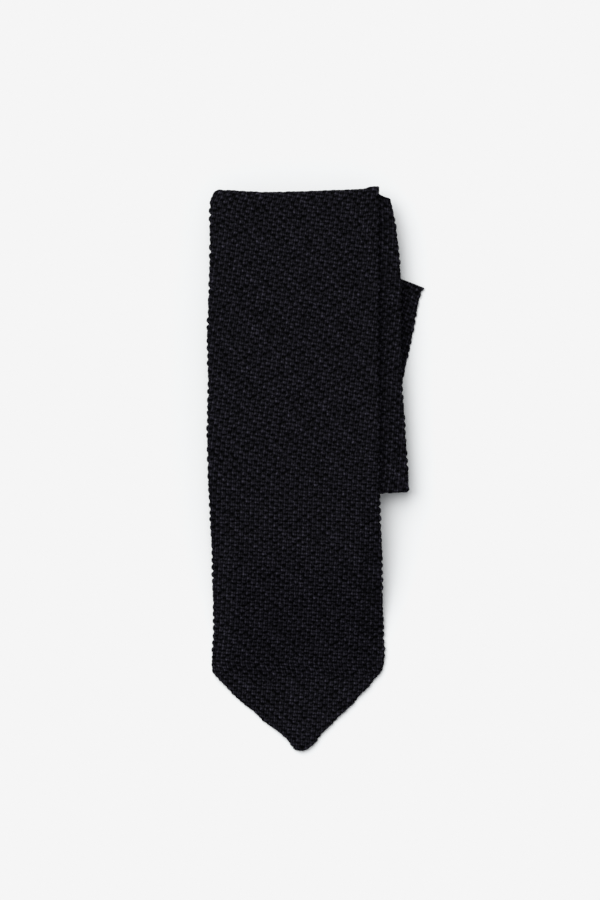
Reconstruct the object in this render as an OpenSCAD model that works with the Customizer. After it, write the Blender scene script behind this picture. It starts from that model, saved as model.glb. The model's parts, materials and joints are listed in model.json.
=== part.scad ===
// Knitted necktie with a pointed blade, folded zigzag into nine layers and laid flat.
// Lengths are millimetres. The fold creases run roughly along X, the blade points to -Y,
// and the tail lies on the surface at Z = 0.

/* [Blade] */
// Width of the blade across its shoulders
blade_w = 65; // [60:0.5:66]
// Width of the blade where it meets the upper fold
blade_fold_w = 64.5; // [60:0.5:66]
// Height of the pointed end, from shoulders to tip
point_h = 30; // [24:0.5:36]
// Radius of the rounded tip
tip_r = 3.8; // [1:0.1:6]
// Free length of the blade that lifts off the table
lift_l = 70; // [66:0.5:74]
// Length of the blade's flat end that rests on the table
rest_l = 28; // [26:0.5:29]

/* [Taper and neck] */
// Width at the lower fold of the second layer
second_w = 65; // [60:0.5:66]
// Width at the upper fold between the third and fourth layers
taper_w = 54; // [48:0.5:56]
// Width at the lower fold between the fourth and fifth layers
collar_w = 42; // [38:0.5:46]
// Width of the neck band
neck_w = 38; // [34:0.5:42]

/* [Tail] */
// Width of the tail at its lower fold
tail_fold_w = 40; // [36:0.5:42]
// Width of the tail at its free end
tail_end_w = 41.5; // [38:0.5:43]
// Lean of the tail from the blade's direction, in degrees
tail_lean = 12.2; // [10:0.2:14]
// Length of the tail from its lower fold to its free end
tail_l = 146; // [140:0.2:148]
// Slant of the tail's free end from square, in degrees
tail_skew = 9; // [0:1:12]

/* [Cloth] */
// Thickness of the pressed tube in the front blade
blade_t = 1.5; // [1.2:0.05:1.6]
// Thickness of the pressed tube in the second and third layers
second_t = 1.3; // [1.1:0.05:1.4]
// Thickness of the pressed tube in the neck and tail
neck_t = 1.1; // [0.9:0.05:1.2]
// Space between two layers that lie on each other
layer_gap = 0.06; // [0.02:0.01:0.1]
// Space between the front blade and the second layer, which holds the keeper and label
keeper_gap = 1; // [0.9:0.05:1.2]

/* [Trimmings] */
// Width of the seam along the middle of the back
seam_w = 1.2; // [0.8:0.1:1.6]
// Depth of the seam in the cloth
seam_d = 0.35; // [0.2:0.05:0.45]
// Length of the keeper loop across the blade
keeper_l = 38; // [34:1:42]
// Width of the keeper loop
keeper_w = 12; // [10:1:14]
// Thickness of the keeper loop's band
keeper_t = 0.5; // [0.4:0.05:0.55]
// Height of the slot that the tail slips through, pressed flat
keeper_slot_h = 0.3; // [0.2:0.05:0.3]
// Distance of the keeper loop from the blade's upper fold
keeper_at = 28; // [20:1:34]
// Length of the woven label
label_l = 40; // [34:1:44]
// Width of the woven label
label_w = 20; // [16:1:22]
// Distance of the label from the blade's upper fold
label_at = 55; // [50:1:58]
// Distance of the care tag from the blade's upper fold
tag_at = 78; // [76:1:90]

/* [Hidden] */
$fn = 48;

silk = [0.08, 0.08, 0.1];
thread = [0.05, 0.05, 0.06];
woven = [0.16, 0.16, 0.18];
eps = 0.01;

// Layers run from the front blade, 0, down to the tail, 8.
TAIL = 8;
thick = concat([blade_t, second_t, second_t], [for (i = [3:TAIL]) neck_t]);
function gap_below(i) = i == 0 ? keeper_gap : layer_gap;
function base(i) = i == TAIL ? 0 : base(i + 1) + thick[i + 1] + gap_below(i);
function top(i) = base(i) + thick[i];

// Crease k joins layers k - 1 and k: [centre x, centre y, angle from X, width].
upper_y = 104;
neck_x = -9.2;
crease = [
  [],
  [-7, upper_y + 0.8, 1.4, blade_fold_w],
  [3.8, -9.2, 3.1, second_w],
  [-2.5, upper_y, 0.4, taper_w],
  [neck_x, -51, -1.2, collar_w],
  [neck_x, upper_y, 0, neck_w],
  [neck_x, -60, 0, neck_w],
  [neck_x, upper_y, 0, neck_w],
  [-8.7, -66.5, -tail_lean / 2, tail_fold_w]
];
function crease_z(k) = (base(k - 1) + top(k)) / 2;
function end(k, side) =
  [for (i = [0, 1]) crease[k][i] + side * crease[k][3] / 2 * [cos(crease[k][2]), sin(crease[k][2])][i]];

// The front blade hangs from its crease over the other layers, down to its tip on the table.
tip = [-4.8, -107.5];
blade_x = -6; // middle of the blade at its shoulders
shoulder_y = tip[1] + point_h;
lift_y = tip[1] + lift_l;
rest_y = tip[1] + rest_l;
bend_half = 3; // the blade bends over this length on each side of lift_y
bend_drop = base(0) * bend_half / (lift_y - rest_y);
tall = 2 * base(0); // higher than anything on the sloping part of the blade

// The origin is moved to the middle of the box around the whole folded tie.
box_mid = [1, -0.1];

// Seams, tacks and hem
seam_end = 1.5; // a seam stops this far from a crease
tack_l = 6;
tack_w = 1.2;
tack_h = 0.25;
tack_y = rest_y + 5;
tail_tack_back = 30; // distance of the tail's bar tack from its free end
hem_back = 6;
hem_w = tail_end_w - 6;
hem_d = 6;
hem_t = 0.35;

// Facing inside the point, and the pieces sewn on the second layer
facing_in = 5; // its distance from the blade's edge
facing_t = 0.4;
foot_l = 4; // sewn-down end of the keeper loop
keeper_h = keeper_slot_h + keeper_t;
keeper_stitches_n = 5;
label_t = 0.3;
label_stitches_n = 8;
tag_l = 16;
tag_w = 12;
tag_t = 0.2;
stitch_l = 2;
stitch_w = 0.4;
stitch_h = 0.1;

// Outline of the front blade, down one side, round the tip and up the other.
point_slope = atan2(point_h - tip_r, blade_w / 2 - tip_r);
blade_outline = concat(
  [end(1, 1), [blade_x + blade_w / 2, shoulder_y]],
  [for (i = [0:8])
    let (turn = -90 + (90 - point_slope) * (4 - i) / 4)
    tip + [0, tip_r] + tip_r * [cos(turn), sin(turn)]],
  [[blade_x - blade_w / 2, shoulder_y], end(1, -1)]
);

module centred() {
  translate([-box_mid[0], -box_mid[1], 0]) children();
}

// The stretch of the blade's outline between two heights along Y.
module blade_plan(low, high) {
  intersection() {
    polygon(blade_outline);
    translate([-blade_w, low]) square([2 * blade_w, high - low]);
  }
}

// Extrudes a side profile, drawn as [y, z] points, across the whole blade.
module across(profile) {
  translate([-blade_w, 0, 0])
    rotate([90, 0, 90])
      linear_extrude(2 * blade_w) polygon(profile);
}

// One pressed layer of the tube between two creases.
module layer(i) {
  translate([0, 0, base(i)])
    linear_extrude(thick[i])
      polygon([end(i, -1), end(i, 1), end(i + 1, 1), end(i + 1, -1)]);
}

// A seam line runs between two points, on the layer's back, in a groove of its own.
module seam_line(from, to, low) {
  run = to - from;
  translate([from[0], from[1], low])
    rotate([0, 0, atan2(run[1], run[0])])
      translate([seam_end, -seam_w / 2, 0])
        cube([norm(run) - 2 * seam_end, seam_w, seam_d]);
}

function crease_mid(k) = [crease[k][0], crease[k][1]];
// Odd layers lie with their back up, even layers with their back down.
function seam_low(i) = i % 2 == 1 ? top(i) - seam_d : base(i);

module layer_seam(i) {
  centred() seam_line(crease_mid(i), crease_mid(i + 1), seam_low(i));
}

module folded_layer(i) {
  centred()
    difference() {
      layer(i);
      seam_line(crease_mid(i), crease_mid(i + 1), seam_low(i));
    }
}

// The turned edge of the tube around crease k, on its upper or lower side.
module turned_edge(k) {
  outer = crease_z(k) - base(k);
  inner = outer - thick[k];
  out = k % 2 == 1 ? 1 : -1;
  centred()
    translate([crease[k][0], crease[k][1], crease_z(k)])
      rotate([0, 0, crease[k][2]])
        translate([-crease[k][3] / 2, 0, 0])
          rotate([90, 0, 90])
            linear_extrude(crease[k][3])
              intersection() {
                difference() {
                  circle(outer);
                  circle(inner);
                }
                translate([out > 0 ? 0 : -outer, -outer]) square([outer, 2 * outer]);
              }
}

// Groove along the underside of the blade's straight part.
module front_groove() {
  seam_line(crease_mid(1), [blade_x, lift_y + bend_half], base(0));
}

// Straight part of the front blade, lying on the keeper and the second layer.
module blade_front_panel() {
  color(silk)
    centred()
      difference() {
        translate([0, 0, base(0)])
          linear_extrude(blade_t) blade_plan(lift_y + bend_half, upper_y + bend_half);
        front_groove();
      }
}

module blade_front_seam() {
  color(thread) centred() front_groove();
}

// Short stretch that bends when the blade's end is lifted.
module blade_bend() {
  high = lift_y + bend_half;
  low = lift_y - bend_half;
  color(silk)
    centred()
      intersection() {
        linear_extrude(tall) blade_plan(low, high);
        across([
          [high, base(0)], [lift_y, base(0)], [low, base(0) - bend_drop],
          [low, base(0) - bend_drop + blade_t], [lift_y, top(0)], [high, top(0)]
        ]);
      }
}

// Sloping part of the front blade, from the bend down to the table: a slab of thickness t
// that starts low below its underside.
module slope(t, low) {
  start = base(0) - bend_drop;
  near = lift_y - bend_half;
  across([[near, start + low], [rest_y, low], [rest_y, low + t], [near, start + low + t]]);
}

// A strip along the blade's middle between two heights along Y.
module strip(from_y, to_y, width) {
  translate([blade_x - width / 2, from_y, -eps])
    cube([width, to_y - from_y, tall]);
}

module slope_seam() {
  intersection() {
    slope(seam_d, 0);
    strip(tack_y, lift_y - bend_half - seam_end, seam_w);
  }
}

module blade_lower_panel() {
  color(silk)
    centred()
      difference() {
        intersection() {
          linear_extrude(tall) blade_plan(rest_y, lift_y - bend_half);
          slope(blade_t, 0);
        }
        slope_seam();
      }
}

module blade_lower_seam() {
  color(thread) centred() slope_seam();
}

// Bar tack that closes the seam above the blade's point, on the underside.
module blade_bar_tack() {
  color(thread)
    centred()
      intersection() {
        slope(tack_h, -tack_h);
        strip(tack_y - tack_w, tack_y, tack_l);
      }
}

// Facing sewn inside the point, let into the underside of the tip.
module facing() {
  half = blade_w / 2 * rest_l / point_h - facing_in;
  linear_extrude(facing_t)
    polygon([
      [tip[0] - half, rest_y], [tip[0], tip[1] + facing_in + tip_r], [tip[0] + half, rest_y]
    ]);
}

module blade_tip() {
  color(silk)
    centred()
      difference() {
        linear_extrude(blade_t) blade_plan(tip[1] - tip_r, rest_y);
        facing();
      }
}

module tip_facing() {
  color(silk) centred() facing();
}

// Second layer
module blade_back_panel() {
  color(silk) folded_layer(1);
}

// Third layer, which tapers from the blade to the neck
module taper_panel() {
  color(silk) folded_layer(2);
}

// Fourth to eighth layers
module neck_panel(n) {
  color(silk) folded_layer(n + 2);
}

module neck_seam(n) {
  color(thread) layer_seam(n + 2);
}

// The tail lies on the table, leans off to the side and ends in a hemmed square end.
tail_run = [sin(tail_lean), cos(tail_lean)];
tail_end = crease_mid(TAIL) + tail_l * tail_run;
end_turn = -tail_lean - tail_skew;
function tail_corner(side) =
  tail_end + side * tail_end_w / 2 / cos(tail_skew) * [cos(end_turn), sin(end_turn)];

// A flat box on the tail's underside, across it, at a distance back from its free end.
module tail_strip(back, width, depth, height) {
  at = tail_end - back * tail_run;
  translate([at[0], at[1], 0])
    rotate([0, 0, end_turn])
      translate([-width / 2, -depth / 2, 0]) cube([width, depth, height]);
}

module hem() {
  tail_strip(hem_back, hem_w, hem_d, hem_t);
}

module tail_tack() {
  tail_strip(tail_tack_back - seam_end, tack_l, tack_w, hem_t);
}

module tail_groove() {
  seam_line(crease_mid(TAIL), tail_end - (tail_tack_back + tack_w) * tail_run, 0);
}

module tail_panel() {
  color(silk)
    centred()
      difference() {
        linear_extrude(neck_t)
          polygon([end(TAIL, -1), end(TAIL, 1), tail_corner(1), tail_corner(-1)]);
        hem();
        tail_tack();
        tail_groove();
      }
}

module tail_hem() {
  color(silk) centred() hem();
}

module tail_bar_tack() {
  color(thread) centred() tail_tack();
}

module tail_seam() {
  color(thread) centred() tail_groove();
}

// Keeper loop, label and care tag lie on the back of the second layer, under the blade.
back_run = crease_mid(2) - crease_mid(1);
back_turn = atan2(back_run[1], back_run[0]) + 90;
module on_back(distance, height) {
  at = crease_mid(1) + distance / norm(back_run) * back_run;
  translate([at[0], at[1], top(1) + height]) rotate([0, 0, back_turn]) children();
}

module plate(size) {
  translate([-size[0] / 2, -size[1] / 2, 0]) cube(size);
}

module keeper_loop() {
  color(silk)
    centred()
      on_back(keeper_at, 0)
        difference() {
          plate([keeper_l, keeper_w, keeper_h]);
          translate([0, 0, -eps])
            plate([keeper_l - 2 * foot_l, keeper_w + 2 * eps, keeper_slot_h + eps]);
        }
}

// A row of short stitches along each end of a trimming of the given length and width.
module end_stitches(length, width, count) {
  pitch = width / count;
  for (side = [-1, 1])
    for (i = [0:count - 1])
      translate([side * (length - stitch_l) / 2, (i + 0.5) * pitch - width / 2, 0])
        plate([stitch_l, stitch_w, stitch_h]);
}

module keeper_stitches() {
  color(thread)
    centred() on_back(keeper_at, keeper_h) end_stitches(keeper_l, keeper_w, keeper_stitches_n);
}

module label() {
  color(woven) centred() on_back(label_at, 0) plate([label_l, label_w, label_t]);
}

module label_stitches() {
  color(thread)
    centred() on_back(label_at, label_t) end_stitches(label_l, label_w, label_stitches_n);
}

module care_tag() {
  color(woven) centred() on_back(tag_at, 0) plate([tag_l, tag_w, tag_t]);
}

blade_front_panel();
blade_lower_panel();
blade_tip();
blade_bend();
blade_back_panel();
taper_panel();
neck_panel(1);  // neck_panel_1
neck_panel(2);  // neck_panel_2
neck_panel(3);  // neck_panel_3
neck_panel(4);  // neck_panel_4
neck_panel(5);  // neck_panel_5
tail_panel();
color(silk) turned_edge(1);  // fold_blade_top
color(silk) turned_edge(2);  // fold_blade_bottom
color(silk) turned_edge(3);  // fold_taper
color(silk) turned_edge(4);  // fold_neck_1
color(silk) turned_edge(5);  // fold_neck_2
color(silk) turned_edge(6);  // fold_neck_3
color(silk) turned_edge(7);  // fold_neck_4
color(silk) turned_edge(TAIL);  // fold_tail
blade_front_seam();
blade_lower_seam();
color(thread) layer_seam(1);  // blade_back_seam
color(thread) layer_seam(2);  // taper_seam
neck_seam(1);  // neck_seam_1
neck_seam(2);  // neck_seam_2
neck_seam(3);  // neck_seam_3
neck_seam(4);  // neck_seam_4
neck_seam(5);  // neck_seam_5
tail_seam();
keeper_loop();
keeper_stitches();
label();
label_stitches();
care_tag();
tip_facing();
tail_hem();
blade_bar_tack();
tail_bar_tack();
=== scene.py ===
"""A black silk-knit necktie, folded into nine layers and laid flat on a pale table."""
import json
import math
import bpy
import numpy as np
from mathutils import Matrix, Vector


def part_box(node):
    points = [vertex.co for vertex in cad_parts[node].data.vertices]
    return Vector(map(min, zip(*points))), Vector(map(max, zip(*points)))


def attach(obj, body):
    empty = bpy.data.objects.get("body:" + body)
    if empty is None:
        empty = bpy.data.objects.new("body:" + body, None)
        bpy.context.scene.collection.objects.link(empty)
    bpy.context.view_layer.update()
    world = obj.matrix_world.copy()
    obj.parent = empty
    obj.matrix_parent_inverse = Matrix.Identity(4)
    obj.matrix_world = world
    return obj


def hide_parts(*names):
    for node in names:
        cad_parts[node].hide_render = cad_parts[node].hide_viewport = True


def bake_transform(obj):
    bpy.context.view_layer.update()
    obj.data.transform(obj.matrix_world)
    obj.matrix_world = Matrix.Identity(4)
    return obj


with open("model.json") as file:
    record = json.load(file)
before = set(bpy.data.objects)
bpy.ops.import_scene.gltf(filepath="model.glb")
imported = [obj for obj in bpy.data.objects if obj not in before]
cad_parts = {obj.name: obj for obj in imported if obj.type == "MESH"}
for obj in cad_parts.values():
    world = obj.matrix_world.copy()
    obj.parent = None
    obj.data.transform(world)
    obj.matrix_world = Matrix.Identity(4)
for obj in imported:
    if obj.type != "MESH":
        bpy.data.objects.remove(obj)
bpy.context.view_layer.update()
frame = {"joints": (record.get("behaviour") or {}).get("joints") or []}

# ---------------------------------------------------------------- sizes, in millimetres
MM = 0.001
COLUMN = 1.82  # from one column of stitches to the next
ROW = 1.47  # from one row of stitches to the next
BUMP = 0.36  # how far a stitch stands out of the cloth
EDGE_BUMP = 0.75  # how much further the stitches along the edges stand out, or lie back
STRIPE = 10  # every tenth diagonal line of stitches is a faint raised stripe
UV_UNIT = 10  # stitches to one unit of the knit's UV map
FOLD_STEPS = 6  # lines of points to each row that goes round a fold

# One entry per layer, from the blade's tip to the tail: body, CAD panel, columns of stitches on each
# face, and the cloth's width laid flat
LAYERS = (
    ("blade_front", "blade_front_panel", 36, 65),
    ("blade_back", "blade_back_panel", 36, 65),
    ("taper", "taper_panel", 33, 59),
    ("neck_1", "neck_panel_1", 27, 48),
    ("neck_2", "neck_panel_2", 22, 40),
    ("neck_3", "neck_panel_3", 22, 38),
    ("neck_4", "neck_panel_4", 22, 38),
    ("neck_5", "neck_panel_5", 22, 38),
    ("tail", "tail_panel", 22, 41),
)
# One entry per crease, between each layer and the next: joint, CAD fold, width, rows round it
CREASES = (
    ("blade_top_fold", "fold_blade_top", 64.5, 4),
    ("blade_bottom_fold", "fold_blade_bottom", 65.0, 2),
    ("taper_fold", "fold_taper", 54.0, 2),
    ("neck_fold_1", "fold_neck_1", 42.0, 2),
    ("neck_fold_2", "fold_neck_2", 38.0, 2),
    ("neck_fold_3", "fold_neck_3", 38.0, 2),
    ("neck_fold_4", "fold_neck_4", 38.0, 2),
    ("tail_fold", "fold_tail", 40.0, 2),
)
LAST = len(LAYERS) - 1
SHOWING = (0, 1, LAST)  # the layers that can be seen, which get more points
TOP_FOLD_Y = 104.8
SHOULDER_Y = -76.0  # where the blade begins to narrow to its point
TIP_Y = -108.25
SPLIT_ROW = round((-20.0 - TIP_Y) / ROW)  # the row where the blade's lifting end begins as its own piece
TAIL_END = ((0.8, 85.6), (39.9, 69.6))  # the tail's left and right corners, x and y
TAIL_FLARE = (0.9, 0.3)  # how far its right corner stands out beyond that
TAIL_BOW = (0.6, 0)  # how far its right edge bows out

# The blade's left and right edges, each point as (y, x)
BLADE_LEFT = (
    (-108.25, -6.2), (-108.1, -7.4), (-107.5, -8.6), (-106.6, -9.6), (-104.3, -11.5), (-102.0, -13.6),
    (-97.4, -19.9), (-92.8, -24.9), (-88.2, -30.6), (-83.6, -35.2), (-79.0, -39.4), (-76.5, -40.3),
    (-72.0, -40.4), (-64.0, -39.9), (-50.0, -39.9), (-40.0, -40.2), (-28.0, -40.4), (-18.0, -41.0),
    (-5.0, -41.6), (14.0, -42.0), (36.0, -41.7), (49.0, -42.0), (74.0, -41.2), (92.0, -41.0),
    (100.3, -41.0), (102.5, -40.7), (104.8, -39.9),
)
BLADE_RIGHT = (
    (-108.25, -5.8), (-108.1, -4.6), (-107.7, -3.4), (-107.0, -2.3), (-102.0, 2.1), (-97.4, 6.5),
    (-92.8, 11.4), (-88.2, 15.9), (-83.6, 20.1), (-79.0, 24.0), (-76.5, 25.6), (-74.0, 26.2),
    (-64.0, 26.1), (-50.0, 25.6), (-30.0, 25.2), (-14.0, 24.5), (0.0, 24.2), (104.8, 24.0),
)
# The second layer's right edge, which shows beside the blade, in the same way
BACK_RIGHT = (
    (-8.0, 35.3), (-2.0, 35.3), (6.0, 34.8), (22.6, 33.7), (40.0, 32.6), (73.4, 32.4), (92.2, 30.7),
    (99.0, 29.4), (102.4, 28.7), (103.5, 28.2), (104.0, 27.2), (104.4, 25.4), (104.8, 24.5), (106.5, 24.2),
)
# Height of the blade's middle above the table, and how far its edges drop below that, as (y, height)
BLADE_LEVEL = (
    (-108.0, 0.75), (-84.0, 0.78), (-80.0, 1.0), (-76.0, 1.7), (-70.0, 3.15), (-61.0, 5.5),
    (-52.0, 7.85), (-44.0, 9.75), (-38.0, 10.75), (-32.0, 11.25), (-22.0, 11.37), (110.0, 11.37),
)
BLADE_EDGE_DROP = (
    (-108.0, 0.0), (-86.0, 0.0), (-80.0, 0.25), (-70.0, 2.3), (-64.0, 3.75), (-56.0, 4.5), (-46.0, 4.4),
    (-34.0, 3.2), (-20.0, 1.2), (-8.0, 0.0), (110.0, 0.0),
)

# Trimmings on the second layer's back, length and width, and the facing inside the point
KEEPER = (38, 12)
LABEL = (40, 20)
CARE_TAG = (16, 12)
FACING_DOWN = 0.74  # from the middle of the blade's cloth down to the facing's underside
FACING_END = 3.2  # the facing's width at its blunt end


# ---------------------------------------------------------------- small helpers
def curve(knots, at):
    """A smooth line through the (place, value) knots, read at the places given."""
    x, y = np.array(knots, float).T
    slope = np.diff(y) / np.diff(x)
    m = np.concatenate(([slope[0]], (slope[1:] + slope[:-1]) / 2, [slope[-1]]))
    i = np.clip(np.searchsorted(x, at) - 1, 0, len(x) - 2)
    h = x[i + 1] - x[i]
    t = np.clip((at - x[i]) / h, 0, 1)
    near = (1 + 2 * t) * (1 - t) ** 2 * y[i] + t * (1 - t) ** 2 * h * m[i]
    return near + t * t * (3 - 2 * t) * y[i + 1] + t * t * (t - 1) * h * m[i + 1]


def smooth(value, low, high):
    """0 up to low, 1 from high on, and an S-shaped rise between them."""
    t = np.clip((value - low) / (high - low), 0, 1)
    return t * t * (3 - 2 * t)


def scatter(*whole):
    """A steady, random-looking number from 0 to 1 for each set of whole numbers."""
    total = sum(n * k for n, k in zip(whole, (12.9898, 78.233, 37.719)))
    return np.mod(np.sin(total) * 43758.5453, 1.0)


def unit(vectors):
    """The vectors, each scaled to a length of 1."""
    return vectors / np.maximum(np.linalg.norm(vectors, axis=-1, keepdims=True), 1e-9)


def make_mesh(name, points, faces, material, uv=None, height=None, flat_from=None):
    """A mesh object from points in millimetres and a list of face arrays, each of one corner count.
    Faces from number flat_from on are shaded flat."""
    mesh = bpy.data.meshes.new(name)
    corners = np.concatenate([f.ravel() for f in faces]).astype(np.int32)
    counts = np.concatenate([np.full(len(f), f.shape[1]) for f in faces])
    mesh.vertices.add(len(points))
    mesh.vertices.foreach_set("co", (points * MM).astype(np.float32).ravel())
    mesh.loops.add(len(corners))
    mesh.loops.foreach_set("vertex_index", corners)
    mesh.polygons.add(len(counts))
    starts = np.concatenate(([0], np.cumsum(counts)[:-1])).astype(np.int32)
    mesh.polygons.foreach_set("loop_start", starts)
    rounded = np.ones(len(counts), bool)
    if flat_from is not None:
        rounded[flat_from:] = False
    mesh.update(calc_edges=True)
    mesh.polygons.foreach_set("use_smooth", rounded)
    if uv is not None:
        mesh.uv_layers.new(name="knit").data.foreach_set("uv", uv.astype(np.float32).ravel())
    if height is not None:
        data = mesh.attributes.new("stitch_height", "FLOAT", "POINT").data
        data.foreach_set("value", height.astype(np.float32).ravel())
    mesh.materials.append(material)
    mesh.validate()
    mesh.update()
    obj = bpy.data.objects.new(name, mesh)
    bpy.context.scene.collection.objects.link(obj)
    return obj


# ---------------------------------------------------------------- where the cloth lies
def box(node):
    """Lowest and highest corner of a CAD node."""
    low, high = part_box(node)
    return np.array(low) / MM, np.array(high) / MM


def thickness(layer):
    low, high = box(LAYERS[layer][1])
    return high[2] - low[2]


def level(layer):
    """Height of the middle of a layer's cloth above the table."""
    low, high = box(LAYERS[layer][1])
    return (low[2] + high[2]) / 2


def crease_line(number):
    """Left and right ends of crease number (1 is between layers 0 and 1), as x and y."""
    name, _, width, _ = CREASES[number - 1]
    joint = next(j for j in frame["joints"] if j["name"] == name)
    middle = np.array(joint["pos_m"][:2]) / MM
    along = np.array(joint["axis"][:2]) * math.copysign(1, joint["axis"][0])
    inset = thickness(number) / 2
    reach = along * (width / 2 - inset)
    return middle - reach, middle + reach


def tail_edges(t):
    """The tail's left and right edge points, at shares t of the way from its crease to its end."""
    start = crease_line(LAST)
    left, right = (np.array(p) for p in TAIL_END)
    flare = TAIL_FLARE * smooth(t, 0.97, 1)
    bow = TAIL_BOW * smooth(t, 0.4, 0.7) * (1 - smooth(t, 0.84, 1))
    return start[0] + (left - start[0]) * t, start[1] + (right - start[1]) * t + flare + bow


def blade_edges(t):
    """The blade's left and right edge points, at shares t of the way from its tip to its crease."""
    end = crease_line(1)
    y = TIP_Y + ((end[0][1] + end[1][1]) / 2 - TIP_Y) * t
    tilt = (end[1][1] - end[0][1]) / 2 * smooth(y, 40, TOP_FOLD_Y)
    inset = np.minimum(thickness(0) / 2, 0.3 + (y - TIP_Y))
    left = np.stack((curve(BLADE_LEFT, y) + inset, y - tilt), 1)
    right = np.stack((curve(BLADE_RIGHT, y) - inset, y + tilt), 1)
    return left, right


def panel_edges(layer, t):
    """Left and right edge points of a layer, at shares t of the way from its tip end to its tail end."""
    if layer == 0:
        return blade_edges(t)
    t = t[:, None]
    if layer == LAST:
        return tail_edges(t)
    start, end = crease_line(layer), crease_line(layer + 1)
    left = start[0] + (end[0] - start[0]) * t
    right = start[1] + (end[1] - start[1]) * t
    if layer == 1:
        right[:, 0] = curve(BACK_RIGHT, right[:, 1]) - thickness(1) / 2
    return left, right


def sag(points):
    """How far the upper layers droop past the left and right edges of the narrower stack under them."""
    stack_left, stack_right = -31, 10
    x = points[..., 0]
    right = 3.0 * np.clip((x - stack_right) / 26, 0, 2) ** 1.6
    left = 0.9 * np.clip((stack_left - x) / 10, 0, 2) ** 1.6
    return right + left


def settle(layer, points):
    """Moves points of a level layer to where soft cloth comes to rest."""
    points = points.copy()
    x, y = points[..., 0], points[..., 1]
    if layer <= 1:
        # The upper fold dips in its middle, and both of its corners stand up
        dip = 0.5 * (1 - np.clip((x + 8) / 32, -1, 1) ** 2)
        corners = 0.9 * smooth(-x, 18, 38) + 0.75 * smooth(x, 17, 22) * (1 - smooth(x, 23.6, 24.6))
        points[..., 1] += (corners - dip) * smooth(y, 60, 104)
    if layer in (1, 2):
        # The second layer's lower fold hangs a little lower than its crease
        points[..., 1] -= 0.3 * (1 - smooth(y, -12, 6))
    if layer == 0:
        # The blade slopes down to the table, its edges before its middle
        middle, half_width = -7.5, 32.5
        across = np.abs(x - middle) / half_width
        points[..., 2] += curve(BLADE_LEVEL, y) - level(0)
        points[..., 2] -= sag(points) * smooth(y, -50, -15)
        points[..., 2] -= smooth(across, 0.70, 1.0) * curve(BLADE_EDGE_DROP, y)
    elif layer <= 3:
        points[..., 2] -= sag(points)
    return points


def panel_rows(layer):
    """How many rows a panel has, always a whole number."""
    left, right = panel_edges(layer, np.array([0.0, 1.0]))
    run = np.linalg.norm((left[1] + right[1] - left[0] - right[0]) / 2)
    return int(round(run / ROW))


def fold_rows(layer):
    """How many rows go round the fold after a layer."""
    return CREASES[layer][3] if layer < LAST else 0


def into_fold(layer, rows, left, right, height):
    """Carries edge points and heights on round the half turn after a layer."""
    turn = np.clip((rows - panel_rows(layer)) / fold_rows(layer), 0, 1) * math.pi
    radius = (level(layer) - level(layer + 1)) / 2
    ends = crease_line(layer + 1)
    along = unit(ends[1] - ends[0])
    outward = np.array((-along[1], along[0])) * (1 if layer % 2 == 0 else -1)
    reach = radius * np.sin(turn)[:, None] * outward
    left = left + reach
    right = right + reach
    if layer == 0:
        # The fold's left end is rounded, and its right end widens to the second layer's
        left[:, 0] += 1.6 * np.sin(turn) ** 2
        beyond = curve(BACK_RIGHT, ends[1][1:]) - thickness(1) / 2 - ends[1][0]
        right[:, 0] += beyond * smooth(turn, 0.7 * math.pi, math.pi)
    return left, right, height - radius * (1 - np.cos(turn))


def centre_points(layer, rows, share):
    """Points of the cloth's middle surface: rows counts stitches from the layer's tip end and runs on
    into the fold after it, and share goes from 0 at the left edge to 1 at the right."""
    left, right = panel_edges(layer, np.clip(rows / panel_rows(layer), 0, 1))
    height = np.full(len(rows), level(layer))
    if layer < LAST:
        left, right, height = into_fold(layer, rows, left, right, height)
    flat = left[:, None, :] + (right - left)[:, None, :] * share[None, :, None]
    points = np.concatenate((flat, np.broadcast_to(height[:, None, None], flat.shape[:2] + (1,))), 2)
    return settle(layer, points)


def cloth_frame(layer, rows, share):
    """Middle-surface points with the directions across the strip and out of its front face."""
    step = 0.02
    last = panel_rows(layer) + fold_rows(layer)
    points = centre_points(layer, rows, share)
    ahead = centre_points(layer, np.minimum(rows + step, last), share)
    behind = centre_points(layer, np.maximum(rows - step, 0), share)
    across = unit(np.gradient(points, axis=1))
    front = unit(np.cross(across, ahead - behind))
    return points, across, front


# ---------------------------------------------------------------- the knit
def grain(rows):
    """The knit spirals round the tie, less towards the tip. For each row counted from the tip: how many
    rows it climbs from one column to the next, how many columns it has moved sideways, and its number
    in the pattern, whose rows are packed closer towards the tip."""
    change = 74  # the row about which the spiral changes
    beyond = (rows - change + np.hypot(rows - change, 5)) / 2
    slope = 0.098 + 0.116 * smooth(rows, 64, 84)
    return slope, 0.064 * rows + 0.048 * beyond, 1.055 * rows - 0.10 * beyond


def stitch_height(column, row, around):
    """Height from 0 to 1 of raised stitches in a brick pattern: every other place of a grid of columns
    and rows holds one, and each differs a little in size, lean and place. Column numbers run right
    round the flat tube."""
    best = np.zeros(np.broadcast(column, row).shape)
    for i in (np.floor(column), np.floor(column) + 1):
        for j in (np.floor(row), np.floor(row) + 1):
            stitch = np.mod(i, around)
            size = 0.74 + 0.26 * scatter(stitch, j) + 0.08 * (np.mod(i + j, STRIPE) == 2)
            lean = 0.5 * (scatter(j, stitch, 3.0) - 0.5)
            aside = 0.2 * (scatter(stitch, j, 7.0) - 0.5)
            ahead = 0.3 * (scatter(j, stitch, 11.0) - 0.5)
            half_width = 0.72
            half_length = 0.74 + 0.2 * scatter(j, 5.0, stitch)
            dx = np.abs(column - i - aside - lean * (row - j)) / half_width
            dy = np.abs(row - j - ahead) / half_length
            dome = np.clip(1 - dx**2.2 - dy**2.6, 0, 1) ** 0.5
            best = np.maximum(best, np.where(np.mod(i + j, 2) == 0, dome * size, 0))
    return best


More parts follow.
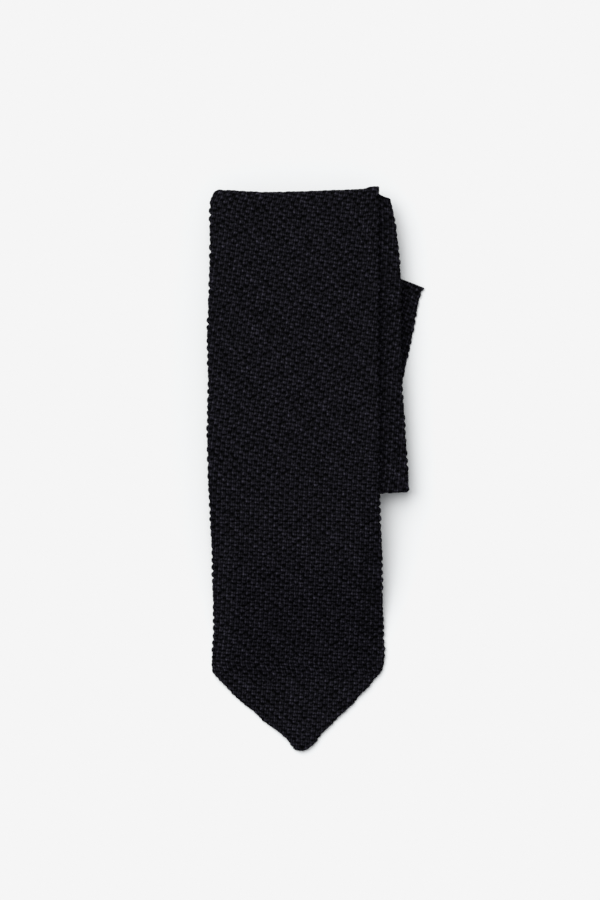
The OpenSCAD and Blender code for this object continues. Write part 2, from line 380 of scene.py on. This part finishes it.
def tube_outline(columns, per_column):
    """The line of points round the flat tube, from the middle of its left edge: the column number of
    each, which point across the cloth it goes with, and which way is out, sideways and to the front."""
    around = 2 * columns
    spaces = (columns - 1) * per_column
    column = np.arange(around * per_column) / per_column
    from_left = np.where(column <= columns, column, around - column)
    index = np.clip(np.round((from_left - 0.5) * per_column), 0, spaces).astype(int)
    side = np.clip(from_left - 0.5, -0.5, 0) + np.clip(from_left - columns + 0.5, 0, 0.5)
    out_x = np.sin(side * math.pi)
    out_z = np.cos(side * math.pi) * np.where(column <= columns, 1, -1)
    out_z[np.abs(out_z) < 1e-9] = 0
    return column, index, out_x, out_z


def tip_shift(points, share, columns):
    """How many columns the stitches move, so that they keep their place on the blade while its outline
    narrows to the tip."""
    x, y = points[..., 0], points[..., 1]
    full = curve(BLADE_LEFT, np.array([SHOULDER_Y - 4.0]))[0] + thickness(0) / 2
    width = curve(BLADE_RIGHT, SHOULDER_Y) - curve(BLADE_LEFT, SHOULDER_Y) - thickness(0)
    pitch = width / (columns - 1)
    narrow = 1 - smooth(y, SHOULDER_Y - 3, SHOULDER_Y + 3)
    return ((x - full) / pitch - share * (columns - 1)) * narrow


def stitch_relief(layer, rows, y, out_z):
    """What share of their height stitches keep: less where the tip is turned under, and inside a fold."""
    relief = np.ones_like(y)
    if layer == 0:
        below = 1 - smooth(y, SHOULDER_Y - 4, SHOULDER_Y + 2)
        relief *= np.where(out_z < 0, 1 - 0.85 * below, 1)
    if layer < LAST:
        count = panel_rows(layer)
        inner = -1 if layer % 2 == 0 else 1
        folded = smooth(rows, count - 0.4, count + 0.4)[:, None] * (out_z * inner > 0)[None, :]
        relief *= 1 - 0.6 * folded
    return relief


def core_half(layer, rows):
    """Half the cloth's thickness under the stitches, which changes to the next layer's in the fold."""
    half = thickness(layer) / 2 - BUMP
    if layer == LAST:
        return half
    count = panel_rows(layer)
    change = smooth(rows, count, count + fold_rows(layer))
    return half + (thickness(layer + 1) - thickness(layer)) / 2 * change[:, None]


def tube_faces(rings, columns, per_column):
    """Quads along a flat tube of that many rings, then a cap across each end."""
    n = 2 * columns * per_column
    ring = np.arange(n)
    following = np.roll(ring, -1)
    base = np.arange(rings - 1)[:, None] * n
    quads = np.stack((base + ring, base + following, base + following + n, base + ring + n), -1)
    half_way = columns * per_column
    a = np.arange(1, half_way - 1)
    cap = np.stack((a, n - a, n - a - 1, a + 1), -1)
    corner = np.array([[0, n - 1, 1], [half_way, half_way - 1, half_way + 1]])
    end = (rings - 1) * n
    caps = np.concatenate((cap, cap[:, ::-1] + end))
    return [quads.reshape(-1, 4), caps, np.concatenate((corner, corner[:, ::-1] + end))]


def knit_uv(grid_column, grid_row, around, others):
    """The place in the stitch grid of each corner of the tube's quads, and 0 for the other corners."""
    across_grid = np.concatenate((grid_column, grid_column[:, :1] + around), 1)
    along_grid = np.concatenate((grid_row, grid_row[:, :1]), 1)
    grid = np.stack((across_grid, along_grid), -1)
    corners = np.stack((grid[:-1, :-1], grid[:-1, 1:], grid[1:, 1:], grid[1:, :-1]), 2)
    return np.concatenate((corners.reshape(-1, 2), np.zeros((others, 2)))) / UV_UNIT


def knit_strip(name, layer, rows, material, per_column, first_row=0):
    """A flat tube of knit over the given rows of a layer, closed at both ends. Returns the object and
    its final points; until place_strip() the mesh lies flat, with y counting rows. first_row is how many
    rows lie between the tip and the layer."""
    columns = LAYERS[layer][2]
    around = 2 * columns
    share = np.linspace(0, 1, (columns - 1) * per_column + 1)
    points, across, front = cloth_frame(layer, rows, share)
    column, index, out_x, out_z = tube_outline(columns, per_column)

    # The stitch grid: its rows climb across from the front's middle, and break at the seam behind
    shift = tip_shift(points, share, columns) if layer == 0 else np.zeros(points.shape[:2])
    placed = column[None, :] + shift[:, index] * np.where(column <= columns, 1, -1)
    from_middle = placed - columns / 2 - np.where(column < 1.5 * columns, 0, around)
    slope, moved, number = grain(rows + first_row)
    grid_column = placed - moved[:, None]
    grid_row = number[:, None] + slope[:, None] * from_middle
    height = stitch_height(grid_column, grid_row, around)

    relief = stitch_relief(layer, rows, points[:, index, 1], out_z)
    at_edge = np.sin(np.clip(np.abs(out_x), 0, 1) * math.pi / 2) ** 2
    lift = core_half(layer, rows) + BUMP * height * relief + EDGE_BUMP * (height - 0.7) * at_edge
    outward = out_x[None, :, None] * across[:, index] + out_z[None, :, None] * front[:, index]
    final = points[:, index] + lift[..., None] * outward

    faces = tube_faces(len(rows), columns, per_column)
    uv = knit_uv(grid_column, grid_row, around, sum(f.size for f in faces[1:]))
    flat = np.stack(np.broadcast_arrays(column[None, :] * COLUMN, rows[:, None], 0.0), -1)
    obj = make_mesh(name, flat.reshape(-1, 3), faces, material, uv, height * relief, len(faces[0]))
    return obj, final.reshape(-1, 3)


def place_strip(obj, points):
    """Folds a flat strip to its final shape."""
    obj.data.vertices.foreach_set("co", (points * MM).astype(np.float32).ravel())
    obj.data.update()


# ---------------------------------------------------------------- materials
def node_material(name):
    """A new material, its node tree and its shader."""
    material = bpy.data.materials.new(name)
    material.use_nodes = True
    tree = material.node_tree
    shader = next(n for n in tree.nodes if n.type == "BSDF_PRINCIPLED")
    return material, tree, shader


def math_node(tree, operation, first, second=None):
    """The output of a math node fed by one socket and a second socket or number."""
    node = tree.nodes.new("ShaderNodeMath")
    node.operation = operation
    tree.links.new(first, node.inputs[0])
    if isinstance(second, (int, float)):
        node.inputs[1].default_value = second
    elif second is not None:
        tree.links.new(second, node.inputs[1])
    return node.outputs[0]


def noise(tree, place, scale, detail=2.0, roughness=0.5):
    """The output of a noise texture over the given coordinates."""
    node = tree.nodes.new("ShaderNodeTexNoise")
    node.inputs["Scale"].default_value = scale
    node.inputs["Detail"].default_value = detail
    node.inputs["Roughness"].default_value = roughness
    tree.links.new(place, node.inputs["Vector"])
    return node.outputs["Fac"]


def ranged(tree, value, source, target):
    """A socket's value moved from the source range to the target range, and kept inside it."""
    node = tree.nodes.new("ShaderNodeMapRange")
    node.inputs["From Min"].default_value = source[0]
    node.inputs["From Max"].default_value = source[1]
    node.inputs["To Min"].default_value = target[0]
    node.inputs["To Max"].default_value = target[1]
    tree.links.new(value, node.inputs["Value"])
    return node.outputs["Result"]


def bumped(tree, shader, height, strength, distance):
    """Gives a shader the relief of a height; distance is in metres."""
    bump = tree.nodes.new("ShaderNodeBump")
    bump.inputs["Strength"].default_value = strength
    bump.inputs["Distance"].default_value = distance
    tree.links.new(height, bump.inputs["Height"])
    tree.links.new(bump.outputs["Normal"], shader.inputs["Normal"])


def ripple(tree, place, stitches, astray, target, trough=-1.0):
    """A wave along one direction of the knit, once every so many stitches, led a little astray by a
    socket. It is flat below the trough, which cuts off all but narrow crests."""
    phase = math_node(tree, "MULTIPLY", place, UV_UNIT / stitches * 2 * math.pi)
    wave = math_node(tree, "COSINE", math_node(tree, "ADD", phase, astray))
    return ranged(tree, wave, (trough, 1.0), target)


def yarn_colour_with_painted_shade(tree):
    """Blue-black yarn, with painted shade that makes the gaps near black and a painted highlight that
    makes the stitches' tops lighter.
    """
    height = tree.nodes.new("ShaderNodeAttribute")
    height.attribute_name = "stitch_height"
    ramp = tree.nodes.new("ShaderNodeValToRGB")
    stops = ramp.color_ramp.elements
    stops[0].position, stops[0].color = 0.10, (0.0003, 0.0003, 0.0004, 1)
    stops[1].position, stops[1].color = 1.0, (0.0078, 0.0073, 0.0105, 1)
    middle = stops.new(0.55)
    middle.color = (0.0040, 0.0038, 0.0052, 1)
    tree.links.new(height.outputs["Fac"], ramp.inputs["Fac"])
    return ramp.outputs["Color"]


def knit_material():
    """Black silk yarn, with painted highlights along the strands and painted shade down between the
    stitches.
    """
    material, tree, shader = node_material("black_silk_knit")
    new, link = tree.nodes.new, tree.links.new
    shader.inputs["Roughness"].default_value = 0.42
    shader.inputs["Specular IOR Level"].default_value = 0.013
    # The yarn's colour, with painted shade in the gaps and a painted highlight on top of the stitches
    colour = yarn_colour_with_painted_shade(tree)
    uv_map = new("ShaderNodeUVMap")
    uv_map.uv_map = "knit"
    place = uv_map.outputs["UV"]

    # The yarn dips between columns and between rows, and lies as two legs in each column: painted shade
    # darkens the dips and the gaps between the legs, and a painted highlight lies along each leg
    wander = noise(tree, place, 9.0, 1.0)
    little = math_node(tree, "MULTIPLY", wander, 3.0)
    more = math_node(tree, "MULTIPLY", wander, 7.0)
    split = new("ShaderNodeSeparateXYZ")
    link(place, split.inputs["Vector"])
    across, along = split.outputs["X"], split.outputs["Y"]
    legs = ripple(tree, across, 0.5, more, (0.45, 1.55))
    columns = ripple(tree, across, 1, little, (0.65, 1.35))
    rows = ripple(tree, along, 1, little, (0.4, 1.6))
    ribs = math_node(tree, "MULTIPLY", columns, rows)

    # The raised stripes catch more light
    first_stripe = 0.192  # where it lies, in units of the map
    diagonal = math_node(tree, "SUBTRACT", math_node(tree, "ADD", across, along), first_stripe)
    stripes = ripple(tree, diagonal, STRIPE, 0.0, (1.0, 1.16), 0.84)
    striped = math_node(tree, "MULTIPLY", ribs, stripes)

    # Slow change of shade over the cloth, and a finer one from stitch to stitch
    shade = ranged(tree, noise(tree, place, 6.0, 3.0, 0.7), (0.25, 0.75), (0.9, 1.1))
    glint = ranged(tree, noise(tree, place, 22.0, 1.0), (0.3, 0.7), (0.2, 2.0))
    patchy = math_node(tree, "MULTIPLY", shade, glint)
    # The painted shade and painted highlights, with the slow and fine changes over the cloth, scale the
    # colour
    light = math_node(tree, "MULTIPLY", patchy, math_node(tree, "MULTIPLY", striped, legs))
    tint = new("ShaderNodeVectorMath")
    tint.operation = "SCALE"
    link(colour, tint.inputs[0])
    link(light, tint.inputs["Scale"])
    link(tint.outputs["Vector"], shader.inputs["Base Color"])

    # Filaments run lengthways on each leg
    stretch = new("ShaderNodeMapping")
    stretch.inputs["Scale"].default_value = (90.0, 14.0, 1.0)
    link(place, stretch.inputs["Vector"])
    strands = noise(tree, stretch.outputs["Vector"], 1.0)
    bumped(tree, shader, math_node(tree, "ADD", strands, legs), 0.6, 0.0002)
    return material


def trim_material(name, colour, roughness, gloss, scale, distance):
    """A woven or twisted trim: a fine grain in its relief and a little in its shade."""
    material, tree, shader = node_material(name)
    shader.inputs["Roughness"].default_value = roughness
    shader.inputs["Specular IOR Level"].default_value = gloss
    place = tree.nodes.new("ShaderNodeTexCoord")
    weave = noise(tree, place.outputs["Object"], scale)
    ramp = tree.nodes.new("ShaderNodeValToRGB")
    ramp.color_ramp.elements[0].color = tuple(c * 0.7 for c in colour) + (1,)
    ramp.color_ramp.elements[1].color = tuple(min(1, c * 1.2) for c in colour) + (1,)
    tree.links.new(weave, ramp.inputs["Fac"])
    tree.links.new(ramp.outputs["Color"], shader.inputs["Base Color"])
    bumped(tree, shader, weave, 0.5, distance)
    return material


# ---------------------------------------------------------------- camera, floor and light
def add_camera():
    """Straight above the tie, looking down."""
    view_height = 343.8  # seen from top to bottom, at the top of the tie
    distance = 1500.0
    stack = 10.0  # height of the tie's top
    camera = bpy.data.objects.new("camera", bpy.data.cameras.new("camera"))
    camera.data.sensor_width = 36
    camera.data.lens = 36 * distance / view_height
    camera.location = (-6.35 * MM, 7.36 * MM, (distance + stack) * MM)
    bpy.context.scene.collection.objects.link(camera)
    bpy.context.scene.camera = camera


def add_floor():
    """A plain pale table, just under the cloth and wide enough for a view from low down."""
    material, _, shader = node_material("pale_floor")
    shader.inputs["Base Color"].default_value = (0.86, 0.87, 0.87, 1)
    shader.inputs["Roughness"].default_value = 0.9
    shader.inputs["Specular IOR Level"].default_value = 0.1
    reach = 20000.0
    gap = 0.05
    corners = np.array([(-reach, -reach), (reach, -reach), (reach, reach), (-reach, reach)])
    points = np.column_stack((corners, np.full(4, -gap)))
    make_mesh("floor", points, [np.array([[0, 1, 2, 3]])], material)


def add_light():
    """A broad soft light from the upper left, and a pale room all round."""
    sun = bpy.data.objects.new("sun", bpy.data.lights.new("sun", "SUN"))
    sun.data.energy = 3.3
    sun.data.angle = math.radians(65)
    sun.rotation_euler = Vector((0.50, -0.68, -1.0)).to_track_quat("-Z", "Y").to_euler()
    bpy.context.scene.collection.objects.link(sun)
    world = bpy.data.worlds.new("studio")
    bpy.context.scene.world = world
    world.use_nodes = True
    background = next(n for n in world.node_tree.nodes if n.type == "BACKGROUND")
    background.inputs["Color"].default_value = (0.95, 0.97, 1.0, 1)
    background.inputs["Strength"].default_value = 0.42


def limit_white():
    """The table comes out light grey: brightness above 0.8 is held to at most 0.913."""
    view = bpy.context.scene.view_settings
    view.view_transform = "Standard"
    view.use_curve_mapping = True
    white = view.curve_mapping
    white.use_clip = True
    white.extend = "HORIZONTAL"
    white.curves[3].points[1].location = (1.0, 0.913)
    white.curves[3].points.new(0.8, 0.8)
    white.update()


# ---------------------------------------------------------------- the layers of the tie
def rows_between(first, last, per_row):
    """The rows from first to last, with per_row steps to each."""
    return np.arange(first * per_row, last * per_row + 1) / per_row


def bend_blade(obj):
    """Bakes the piece's placement into its mesh."""
    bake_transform(obj)


def make_blade_end(knit):
    """The blade's lower end, with its point."""
    rows = np.concatenate(([0.02, 0.08, 0.18], rows_between(0, SPLIT_ROW, 3)[1:]))
    obj, points = knit_strip("blade_end_knit", 0, rows, knit, 4)
    place_strip(obj, points)
    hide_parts("blade_lower_panel", "blade_tip", "blade_bend")
    bend_blade(obj)


def make_layer(layer, knit, first_row):
    """One layer with the fold after it. Returns the number of the next layer's first row."""
    body, panel, _, width = LAYERS[layer]
    per_column, per_row = (4, 3) if layer in SHOWING else (2, 2)
    count, beyond = panel_rows(layer), fold_rows(layer)
    first = SPLIT_ROW if layer == 0 else 0
    round_fold = np.arange(1, FOLD_STEPS * beyond + 1) / FOLD_STEPS
    rows = np.concatenate((rows_between(first, count, per_row), count + round_fold))
    obj, points = knit_strip(body + "_knit", layer, rows, knit, per_column, first_row)
    if layer < LAST:
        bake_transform(obj)
        place_strip(obj, points)
        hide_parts(panel, CREASES[layer][1])
    else:
        place_strip(obj, points)
        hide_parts(panel)
        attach(obj, body)
    return first_row + count + beyond


# ---------------------------------------------------------------- seams and trimmings
def stitches(name, middles, along, up, length, radius, material):
    """One mesh of short, rounded threads, each arched a little, centred on the given points."""
    sides, steps = 8, 7
    t = np.linspace(-1, 1, steps)[1:-1]
    girth = np.sqrt(1 - t**4)
    turn = np.arange(sides) * 2 * math.pi / sides
    arch = 0.6 * radius * (1 - t**2)
    body = np.stack(
        (
            np.repeat(t * length / 2, sides),
            (girth[:, None] * radius * np.cos(turn)).ravel(),
            (girth[:, None] * radius * np.sin(turn) + arch[:, None]).ravel(),
        ),
        1,
    )
    one = np.concatenate((body, [[-length / 2, 0, -0.3 * radius], [length / 2, 0, -0.3 * radius]]))
    ring = np.arange(sides)
    following = np.roll(ring, -1)
    base = np.arange(steps - 3)[:, None] * sides
    quads = np.stack((base + ring, base + ring + sides, base + following + sides, base + following), -1)
    first, last, end = len(body), len(body) + 1, len(body) - sides
    tips = np.concatenate(
        (
            np.stack((np.full(sides, first), ring, following), 1),
            np.stack((np.full(sides, last), end + following, end + ring), 1),
        )
    )
    along = unit(np.broadcast_to(along, middles.shape).astype(float))
    up = np.broadcast_to(up, middles.shape)
    side = unit(np.cross(up, along))
    axes = np.stack((along, side, np.cross(along, side)), 1)
    points = middles[:, None, :] + one @ axes
    shift = (np.arange(len(middles)) * len(one))[:, None, None]
    faces = [(quads.reshape(1, -1, 4) + shift).reshape(-1, 4), (tips[None] + shift).reshape(-1, 3)]
    obj = make_mesh(name, points.reshape(-1, 3), faces, material)
    return obj


def seam(name, layer, first_row, last_row, thread):
    """A running slip stitch down the middle of a layer's back, each stitch slanting across the join."""
    rows = np.arange(first_row, last_row, 1.1)
    points, across, front = cloth_frame(layer, rows, np.linspace(0, 1, 5))
    points, across, front = points[:, 2], across[:, 2], front[:, 2]
    ahead = unit(np.gradient(points, axis=0))
    slant = np.where(np.arange(len(rows)) % 2 == 0, 1, -1)[:, None]
    sunk = 0.2
    middles = points - front * (thickness(layer) / 2 - sunk)
    return stitches(name, middles, ahead + 0.45 * slant * across, -front, 1.75, 0.17, thread)


def plate(name, left, right, low, thick, material, rib, rib_axis=0, piping=0.0):
    """A thin closed piece of cloth between its left and right edge lines, seen from above, with fine
    ribs on its face, along it or across it, and a raised border of the given height. low gives its
    underside's height at each x and y."""
    columns = 90
    share = np.linspace(0, 1, columns)
    flat = left[:, None, :] + (right - left)[:, None, :] * share[None, :, None]
    x, y = flat[..., 0], flat[..., 1]
    length = np.linalg.norm(right - left, axis=1)[:, None]
    from_side = np.minimum(share, 1 - share)[None, :] * length
    run = np.linalg.norm(np.diff((left + right) / 2, axis=0), axis=1).sum()
    down = np.linspace(0, run, len(left))[:, None]
    margin = np.minimum(from_side, np.minimum(down, run - down))
    soft_edge = np.sqrt(np.clip(margin / thick, 0.02, 1))
    place = share[None, :] * length if rib_axis == 0 else down + 0 * x
    ribs = 0.12 * thick * np.cos(2 * math.pi * place / rib)
    raised = piping * (smooth(margin, 0.3, 0.8) - smooth(margin, 1.6, 2.2))
    bottom = low(x, y)
    top = bottom + thick * soft_edge * 0.88 + (ribs + raised) * soft_edge
    rows = len(left)
    points = np.concatenate(
        (np.dstack((x, y, top)).reshape(-1, 3), np.dstack((x, y, bottom)).reshape(-1, 3))
    )
    index = np.arange(rows * columns).reshape(rows, columns)
    upper = np.stack((index[:-1, :-1], index[:-1, 1:], index[1:, 1:], index[1:, :-1]), -1).reshape(-1, 4)
    lower = upper[:, ::-1] + rows * columns
    rim = np.concatenate((index[0, :-1], index[:-1, -1], index[-1, :0:-1], index[:0:-1, 0]))
    after = np.roll(rim, -1)
    side = np.stack((rim, rim + rows * columns, after + rows * columns, after), 1)
    faces = np.concatenate((upper, lower, side))
    if np.cross(right[0] - left[0], left[-1] - left[0]) < 0:
        faces = faces[:, ::-1]
    return make_mesh(name, points, [faces], material)


def back_turn():
    """The direction across the second layer's back, and the direction up it."""
    up = unit(np.mean(crease_line(1), axis=0) - np.mean(crease_line(2), axis=0))
    return np.array((up[1], -up[0])), up


def oblong(node, size):
    """Left and right edge lines of a trimming of that length and width, centred on its CAD node."""
    low, high = box(node)
    across, up = back_turn()
    middle = ((low + high) / 2)[:2]
    rows = np.linspace(-0.5, 0.5, 48)[:, None] * size[1] * up
    return middle + rows - across * size[0] / 2, middle + rows + across * size[0] / 2


def end_stitches(name, node, size, height, count, thread):
    """A row of short stitches over each end of a trimming."""
    low, high = box(node)
    across, up = back_turn()
    middle = ((low + high) / 2)[:2]
    places = ((np.arange(count) + 0.5) / count - 0.5)[:, None]
    ends = [middle + places * size[1] * up + side * size[0] * across for side in (-0.5, 0.5)]
    flat = np.concatenate((ends[0] + 0.7 * across, ends[1] - 0.7 * across))
    points = np.column_stack((flat, height - sag(flat)))
    return stitches(name, points, np.append(across, 0), (0, 0, 1), 1.7, 0.13, thread)


def on_blade_back(obj, node):
    """Declares a trimming that takes a CAD node's place on the second layer's back."""
    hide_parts(node)
    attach(obj, "blade_back")


def make_back_trimmings(thread, silk, label_satin, tag_satin):
    """The keeper loop, the label and the care tag, and the stitches of the first two."""
    back = box("keeper_loop")[0][2]

    def on_back(x, y):
        return back - sag(np.dstack((x, y)))

    left, right = oblong("keeper_loop", KEEPER)
    middle = (left + right).mean(0) / 2

    def arched(x, y):
        return on_back(x, y) + 0.5 * (1 - smooth(np.abs(x - middle[0]), 13.5, 17.0))

    keeper = plate("keeper_loop_band", left, right, arched, 0.3, silk, 1.1, 1)
    on_blade_back(keeper, "keeper_loop")
    label = plate("blank_label", *oblong("label", LABEL), on_back, 0.3, label_satin, 0.5, 0, 0.05)
    on_blade_back(label, "label")
    tag = plate("blank_care_tag", *oblong("care_tag", CARE_TAG), on_back, 0.2, tag_satin, 0.35, 1)
    on_blade_back(tag, "care_tag")
    sewn = end_stitches("keeper_threads", "keeper_stitches", KEEPER, back + 0.31, 5, thread)
    on_blade_back(sewn, "keeper_stitches")
    sewn = end_stitches("label_threads", "label_stitches", LABEL, back + 0.30, 8, thread)
    on_blade_back(sewn, "label_stitches")


def make_facing(silk):
    """The facing inside the blade's point, which narrows to a blunt end."""
    low, high = box("tip_facing")
    width, length = high[0] - low[0], high[1] - low[1]
    y = np.linspace(low[1], high[1], 48)
    half = (FACING_END + (width - FACING_END) * (1 - (high[1] - y) / length)) / 2
    centre = (low[0] + high[0]) / 2
    left, right = np.stack((centre - half, y), 1), np.stack((centre + half, y), 1)

    def under_blade(x, y):
        return curve(BLADE_LEVEL, y) - FACING_DOWN

    facing = plate("tip_facing_cloth", left, right, under_blade, 0.25, silk, 0.8, 0)
    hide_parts("tip_facing")
    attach(facing, "blade_end")


def bar(name, node, body, turn, thread):
    """A bar tack: long threads side by side under the cloth."""
    low, high = box(node)
    along = np.array((math.cos(turn), math.sin(turn), 0))
    side = np.array((-along[1], along[0], 0))
    places = np.linspace(-0.45, 0.45, 5)[:, None]
    obj = stitches(name, (low + high) / 2 + places * side, along, (0, 0, -1), 6.0, 0.14, thread)
    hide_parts(node)
    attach(obj, body)


def make_hem(thread):
    """Stitches along the tail's end, just inside it."""
    low, high = box("tail_hem")
    ends = np.array(((low[0] + 1, high[1] - 1), (high[0] - 1, low[1] + 1)))
    run = ends[1] - ends[0]
    count = int(np.linalg.norm(run) / 2.6)
    flat = ends[0] + run * ((np.arange(count) + 0.5) / count)[:, None]
    points = np.column_stack((flat, np.full(count, 0.16)))
    obj = stitches("tail_hem_threads", points, np.append(run, 0), (0, 0, -1), 2.0, 0.14, thread)
    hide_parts("tail_hem")
    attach(obj, "tail")


def make_seams(thread):
    """The seam down the back of every layer, from above the point to short of the tail's end."""
    start = (SHOULDER_Y + 2 - TIP_Y) / ROW
    obj = seam("blade_lower_seam_thread", 0, start, SPLIT_ROW, thread)
    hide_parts("blade_lower_seam")
    bend_blade(obj)
    for layer, (body, panel, _, _) in enumerate(LAYERS):
        node = panel.replace("panel", "seam")
        count = panel_rows(layer)
        first = SPLIT_ROW if layer == 0 else 1
        last = count * 0.73 if layer == LAST else count - 1
        obj = seam(node + "_thread", layer, first, last, thread)
        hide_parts(node)
        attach(obj, body)
    run = TAIL_END[1] - crease_line(LAST)[1]
    bar("tail_tack_threads", "tail_bar_tack", "tail", -math.atan2(run[0], run[1]), thread)
    bar("blade_tack_threads", "blade_bar_tack", "blade_end", 0, thread)
    make_hem(thread)


knit = knit_material()
thread = trim_material("black_thread", (0.006, 0.006, 0.008), 0.5, 0.05, 900, 0.00008)
silk = trim_material("black_silk_ribbing", (0.005, 0.0048, 0.0068), 0.5, 0.03, 1400, 0.0001)
label_satin = trim_material("dark_satin_label", (0.013, 0.013, 0.016), 0.38, 0.08, 1600, 0.00005)
tag_satin = trim_material("grey_satin_tag", (0.035, 0.035, 0.04), 0.4, 0.1, 1600, 0.00005)
add_camera()
add_floor()
add_light()
limit_white()
make_blade_end(knit)
row = 0
for layer in range(len(LAYERS)):
    row = make_layer(layer, knit, row)
make_seams(thread)
make_back_trimmings(thread, silk, label_satin, tag_satin)
make_facing(silk)
